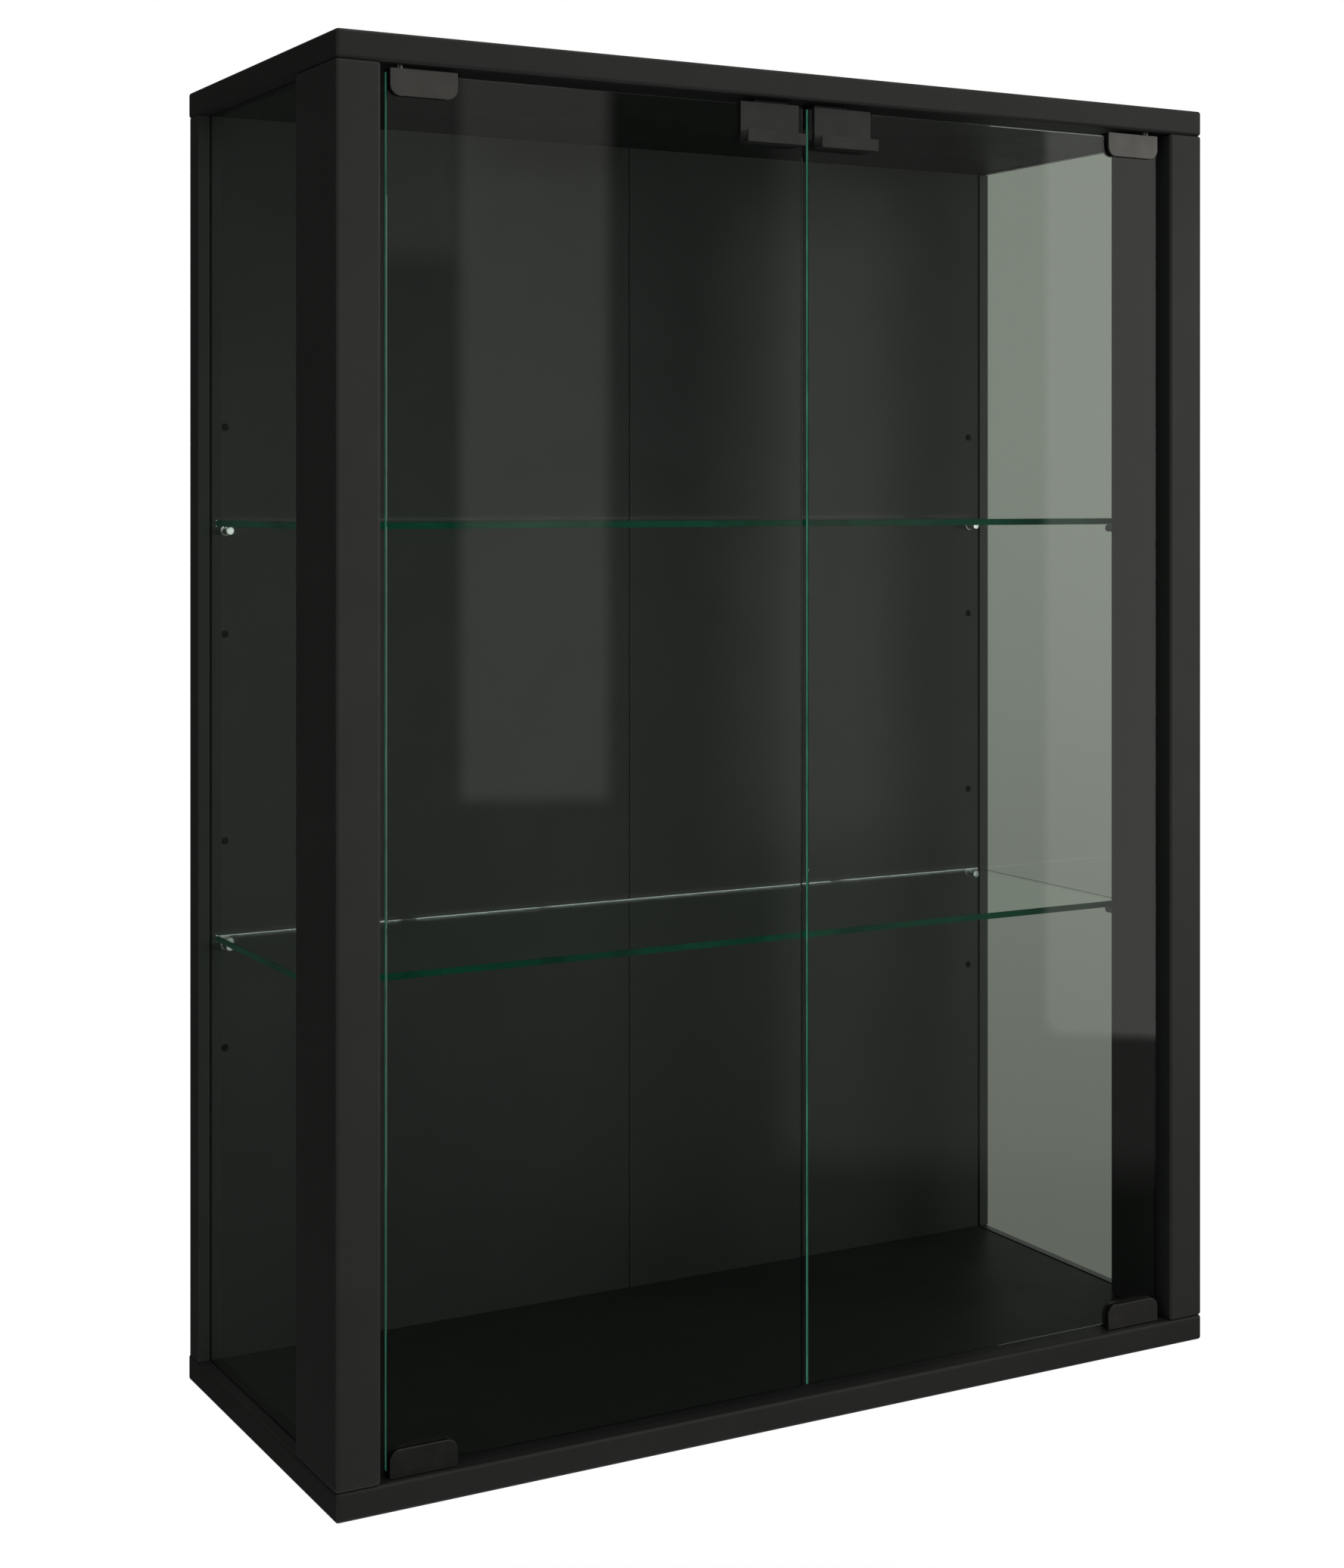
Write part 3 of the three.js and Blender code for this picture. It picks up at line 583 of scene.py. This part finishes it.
def pivot_pin(end, side):
    """The door's pivot: a plain bright pin with a chamfered tip."""
    node = f"pivot_pin_{end}_{side}"
    low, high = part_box(node)
    radius = (high.x - low.x) / 2
    half = (high.z - low.z) / 2
    outline = [(0, -half), (radius, -half), (radius, half - PIVOT_CHAMFER)]
    outline += [(radius - PIVOT_CHAMFER, half), (0, half)]
    tip_outwards = Matrix.Rotation(math.radians(90 if end == "upper" else -90), 4, "X")
    place = Matrix.Translation(middle(node)) @ tip_outwards
    mesh = mesh_of(f"pivot_{end}_{side}", lathe(outline), place)
    return new_piece(mesh.name, mesh, node, "pin_chrome", look="pivot_chrome")


def hinge_clamp(end, side):
    """A channel of plate over the glass edge, its free corners rounded and its edges softened."""
    node = f"hinge_clamp_{end}_{side}"
    low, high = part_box(node)
    centre = middle(node)
    half = (high.x - low.x) / 2
    tall = high.z - low.z
    thick = high.y - low.y
    corner = (half - CLAMP_CORNER, -tall + CLAMP_CORNER)
    outline = [(-half, 0), (-half, corner[1])]
    outline += arc((-corner[0], corner[1]), CLAMP_CORNER, 180, 270, 16)
    outline += arc(corner, CLAMP_CORNER, 270, 360, 16)
    outline += [(half, 0)]
    mesh = mesh_of(node, extruded(outline, thick))
    piece = new_piece(f"clamp_{end}_{side}", mesh, node, "hinge_black")
    channel = thick / 2 - CLAMP_PLATE
    cut(piece, box_bm((-2 * half, -channel, -2 * tall), (2 * half, channel, -CLAMP_WEB[end])))

    board_end = high.z if end == "upper" else low.z
    turn = Matrix.Diagonal((1, 1, 1 if end == "upper" else -1, 1))
    piece.data.transform(Matrix.Translation((centre.x, centre.y, board_end)) @ turn)
    if turn.determinant() < 0:
        piece.data.flip_normals()
    bevel(piece, SHEET_ROUND)
    return piece


def folded_sheet(path, sheet):
    """The closed outline of a sheet folded along a path of crisp right-angled corners."""
    left, right = [], []
    points = [Vector(p) for p in path]
    for i, point in enumerate(points):
        before = (point - points[i - 1]).normalized() if i else None
        after = (points[i + 1] - point).normalized() if i + 1 < len(points) else None
        sides = [Vector((-along.y, along.x)) * sheet / 2 for along in (before, after) if along]
        across = sides[0] + sides[1] if len(sides) == 2 else sides[0]
        left.append(point + across)
        right.append(point - across)
    return [(p.x, p.y) for p in left + list(reversed(right))]


def door_pull(side):
    """One folded sheet: over the glass edge, down the front, out to a foot and up to a lip."""
    node = f"door_pull_{side}"
    low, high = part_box(node)
    glass_low, glass_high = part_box(f"door_glass_{side}")
    sheet = glass_low.y - low.y - PULL_FOOT
    front = glass_low.y - sheet / 2
    rear = glass_high.y + sheet / 2
    lip = low.y + sheet / 2
    folds = [
        (rear, glass_high.z - PULL_REAR_LEG),
        (rear, high.z - sheet / 2),
        (front, high.z - sheet / 2),
        (front, low.z + sheet / 2),
        (lip, low.z + sheet / 2),
        (lip, low.z + PULL_LIP),
    ]
    bm = extruded(folded_sheet(folds, sheet), high.x - low.x)
    swap_x_and_y = Matrix(((0, 1, 0, 0), (1, 0, 0, 0), (0, 0, 1, 0), (0, 0, 0, 1)))
    mesh = mesh_of(f"pull_{side}", bm, Matrix.Translation((middle(node).x, 0, 0)) @ swap_x_and_y)
    piece = new_piece(mesh.name, mesh, node, "pull_black")
    bevel(piece, SHEET_ROUND, limit=60)
    return piece


shelf_pins = [shelf_pin(level, depth, side) for level in ENDS for depth in DEPTHS for side in SIDES]
for side in SIDES:
    for end in ENDS:
        pivot_pin(end, side)
        hinge_clamp(end, side)
    door_pull(side)


# ---- The CAD nodes that stay: materials, joined facets and softened edges ----


def joined_facets():
    """A node group that joins a CAD mesh's loose triangles and smooths all but its sharp edges."""
    group = bpy.data.node_groups.new("joined_facets", "GeometryNodeTree")
    group.interface.new_socket("Geometry", in_out="INPUT", socket_type="NodeSocketGeometry")
    group.interface.new_socket("Geometry", in_out="OUTPUT", socket_type="NodeSocketGeometry")

    def node(kind, geometry=None):
        made = group.nodes.new(kind)
        if geometry is not None:
            group.links.new(geometry.outputs[0], made.inputs[0])
        return made

    bare = node("GeometryNodeRemoveAttribute", node("NodeGroupInput"))
    bare.inputs["Name"].default_value = "custom_normal"
    merged = node("GeometryNodeMergeByDistance", bare)
    merged.inputs["Distance"].default_value = 0.01 * MM
    smooth = node("GeometryNodeSetShadeSmooth", merged)
    smooth.inputs["Shade Smooth"].default_value = True
    angle = node("GeometryNodeInputMeshEdgeAngle")
    sharp = node("FunctionNodeCompare")
    sharp.inputs["B"].default_value = SHARP_ANGLE
    group.links.new(angle.outputs["Unsigned Angle"], sharp.inputs["A"])
    edged = node("GeometryNodeSetShadeSmooth", smooth)
    edged.domain = "EDGE"
    edged.inputs["Shade Smooth"].default_value = False
    group.links.new(sharp.outputs["Result"], edged.inputs["Selection"])
    node("NodeGroupOutput", edged)
    return group


def finish_cad(piece, group, edge_round):
    """Joins a CAD piece's facets, rounds its edges by edge_round if any, and keeps its flats flat."""
    joining = piece.modifiers.new("joining", "NODES")
    joining.node_group = group
    if edge_round:
        bevel(piece, edge_round, segments=2)
    flats = piece.modifiers.new("flats", "WEIGHTED_NORMAL")
    flats.keep_sharp = True


facets = joined_facets()
for node, piece in frame["nodes"].items():
    kind = node if node in BOARDS else node.rsplit("_", 1)[0]  # the name without its last word
    slot = piece.material_slots[0]
    slot.material = BOARDS.get(kind) or GLASS.get(kind) or MATERIALS[slot.material.name]
    if kind not in GLASS:
        finish_cad(piece, facets, EDGE_ROUND.get(kind))


# ---- Stage: floor, light and camera ----


def floor():
    """A plain pale floor well below the hung case, fading into the white background."""
    bm = bmesh.new()
    bmesh.ops.create_circle(bm, cap_ends=True, segments=96, radius=FLOOR_RADIUS)
    bm.transform(Matrix.Translation((0, 0, -FLOOR_DROP)))
    piece = bpy.data.objects.new("floor", mesh_of("floor", bm))
    bpy.context.scene.collection.objects.link(piece)
    s = Shader("floor_pale")
    fleck = s.noise(60, detail=3)
    colour = s.mix_colour(fleck, (0.86, 0.86, 0.85), (0.90, 0.90, 0.89))
    matt = s.principled(Base_Color=colour, Roughness=0.7)
    away = s.vector("LENGTH", s.vector("MULTIPLY", s.place(), (1, 1, 0)))
    fade = s.ranged(away, *FLOOR_FADE, 0, 1, smooth=True)
    bounced = s.node("LightPath").outputs["Is Diffuse Ray"]  # the studio's tone stands for its bounce
    gone = s.node("BsdfTransparent").outputs["BSDF"]
    absent = s.math("MAXIMUM", fade, bounced)
    piece.data.materials.append(s.done(s.mix_shader(absent, matt, gone)))
    return piece


def panel_light(name, place, aim, size, power, spread=180):
    """A soft rectangular lamp at place, turned to aim, that lights but isn't seen or mirrored."""
    lamp = bpy.data.lights.new(name, "AREA")
    lamp.shape = "RECTANGLE"
    lamp.size, lamp.size_y = size
    lamp.energy = power
    lamp.spread = math.radians(spread)
    holder = bpy.data.objects.new(name, lamp)
    bpy.context.scene.collection.objects.link(holder)
    holder.location = place
    holder.rotation_euler = (Vector(aim) - Vector(place)).to_track_quat("-Z", "Y").to_euler()
    holder.visible_camera = False
    holder.visible_transmission = False
    holder.visible_glossy = False
    return holder


def only_for(lamp, pieces):
    """Lets a lamp light these pieces alone."""
    receivers = bpy.data.collections.new(lamp.name + "_receivers")
    for piece in pieces:
        receivers.objects.link(piece)
    lamp.light_linking.receiver_collection = receivers


def window_light(s, azimuth, height):
    """The light of all the studio's windows in a direction, as their levels added up."""
    glow = None
    for left, right, low, high, soft, level in WINDOWS.values():
        across = s.band(azimuth, left, right, soft)
        up = s.band(height, low, high, soft)
        window = s.math("MULTIPLY", s.math("MULTIPLY", across, up), level)
        glow = window if glow is None else s.math("ADD", glow, window)
    return glow


def seen_through(s, x, y, height):
    """What shows through the case: grey-green beyond its glass sides, nearly black elsewhere.

    Rays that leave at the back have to go less far sideways for that than rays that leave ahead.
    """
    sideways = s.math("ABSOLUTE", x)
    behind = s.ranged(sideways, 0.40, 0.56, 0, 1, smooth=True)
    ahead = s.ranged(sideways, 0.66, 0.76, 0, 1, smooth=True)
    is_behind = s.ranged(y, -0.1, 0.1, 0, 1)
    glass_behind = s.math("MULTIPLY", behind, is_behind)
    glass_ahead = s.math("MULTIPLY", ahead, s.math("SUBTRACT", 1.0, is_behind))
    glass_side = s.math("ADD", glass_behind, glass_ahead)
    lower_is_dimmer = s.ranged(height, -20, 2, 0.55, 1.0, smooth=True)
    level = s.math("MULTIPLY", glass_side, lower_is_dimmer)
    return s.mix_colour(level, (0.02, 0.022, 0.02), (0.275, 0.285, 0.255))


def studio():
    """What surrounds the object: white for the camera, and a room of its own for each other kind of ray.

    Mirror rays see a room that is dark at the front, so that the doors stay clear, with soft windows. Rays
    through the glass see grey-green where the eye looks right through the case, and nearly white behind
    one pane, such as an open door.
    """
    world = bpy.data.worlds.new("studio")
    world.use_nodes = True
    world.cycles.sampling_method = "NONE"
    bpy.context.scene.world = world
    s = Shader.over(world.node_tree)
    direction = s.node("TexCoord").outputs["Generated"]
    x, y, z = s.node("SeparateXYZ", Vector=direction).outputs
    degrees = 180 / math.pi
    azimuth = s.math("MULTIPLY", s.math("ARCTAN2", x, s.math("MULTIPLY", y, -1.0)), degrees)
    height = s.math("MULTIPLY", s.math("ARCSINE", z), degrees)
    glow = window_light(s, azimuth, height)
    mirrored = s.mix_colour(glow, (0.012, 0.0125, 0.012), (1.0, 0.985, 0.945))
    through = seen_through(s, x, y, height)

    ray = s.node("LightPath").outputs
    one_pane = s.math("LESS_THAN", ray["Transmission Depth"], 3)
    straight = s.math("LESS_THAN", ray["Glossy Depth"], 1)
    through = s.mix_colour(s.math("MULTIPLY", one_pane, straight), through, (0.92, 0.92, 0.92))
    shade = s.mix_colour(ray["Is Transmission Ray"], mirrored, through)
    shade = s.mix_colour(ray["Is Diffuse Ray"], shade, (0.16, 0.16, 0.16))
    shade = s.mix_colour(ray["Is Camera Ray"], shade, (1, 1, 1))
    background = s.node("Background", Color=shade, Strength=1.0)
    out = s.node("OutputWorld")
    s.tree.links.new(background.outputs[0], out.inputs["Surface"])


def lamps(floor_piece, pins):
    """Soft panels for the case, a wash for the floor and two glints for the nickel pins, in watts."""
    aim = CASE_MIDDLE + 0.07 * Z
    panel_light("front", (0.9, -3.2, 0.6), aim, size=(1.2, 0.4), power=0.85, spread=25)
    panel_light("right", (2.6, -2.0, 0.6), aim, size=(0.8, 0.4), power=0.9, spread=27)
    panel_light("above", (0.4, -1.2, 3.2), aim, size=(2.0, 2.0), power=4.2)
    panel_light("behind", (0.0, 3.2, 0.9), aim, size=(1.6, 1.2), power=11)

    wash = panel_light("floor_wash", (0, 0, 2.6), (0, 0, 0), size=(3.0, 3.0), power=85)
    only_for(wash, [floor_piece])

    glint = panel_light("glint", (1.15, -2.2, 0.3), (1.15, 0, 0.3), size=(2.2, 1.3), power=14)
    rim_glint = panel_light("rim_glint", (-2.0, -0.9, 1.3), aim, size=(1.4, 1.4), power=9)
    for lamp in (glint, rim_glint):
        lamp.visible_glossy = True
        lamp.data.cycles.use_multiple_importance_sampling = False
        only_for(lamp, pins)


def camera():
    """Left of the case and level, with the lens shifted down to keep the uprights upright."""
    data = bpy.data.cameras.new("camera")
    data.sensor_fit = "AUTO"
    data.sensor_width = 36
    data.lens = CAMERA_LENS
    holder = bpy.data.objects.new("camera", data)
    bpy.context.scene.collection.objects.link(holder)
    holder.location = CAMERA_PLACE
    holder.rotation_euler = (math.radians(90), 0, math.radians(CAMERA_TURN))
    bpy.context.scene.camera = holder
    shift_lens(holder, CAMERA_SHIFT)


def shift_lens(holder, shift):
    """Shifts the lens while the camera stands where it is now. Anywhere else the lens is straight.

    A driver measures how far the camera is from a stand that stays here, and its curve turns that
    distance into the shift.
    """
    stand = bpy.data.objects.new("camera_stand", None)
    bpy.context.scene.collection.objects.link(stand)
    stand.location = holder.location
    curve = holder.data.driver_add("shift_y")
    curve.driver.type = "SUM"
    away = curve.driver.variables.new()
    away.type = "LOC_DIFF"
    for target, thing in zip(away.targets, (holder, stand)):
        target.id = thing
    for modifier in list(curve.modifiers):
        curve.modifiers.remove(modifier)
    for distance, amount in ((0.0, shift), (SHIFT_KEPT, shift), (SHIFT_GONE, 0.0)):
        curve.keyframe_points.insert(distance, amount).interpolation = "LINEAR"


pale_floor = floor()
studio()
lamps(pale_floor, shelf_pins)
camera()
bpy.context.scene.view_settings.view_transform = "Standard"
bpy.context.scene.cycles.transparent_max_bounces = 24
bpy.context.scene.cycles.transmission_bounces = 16
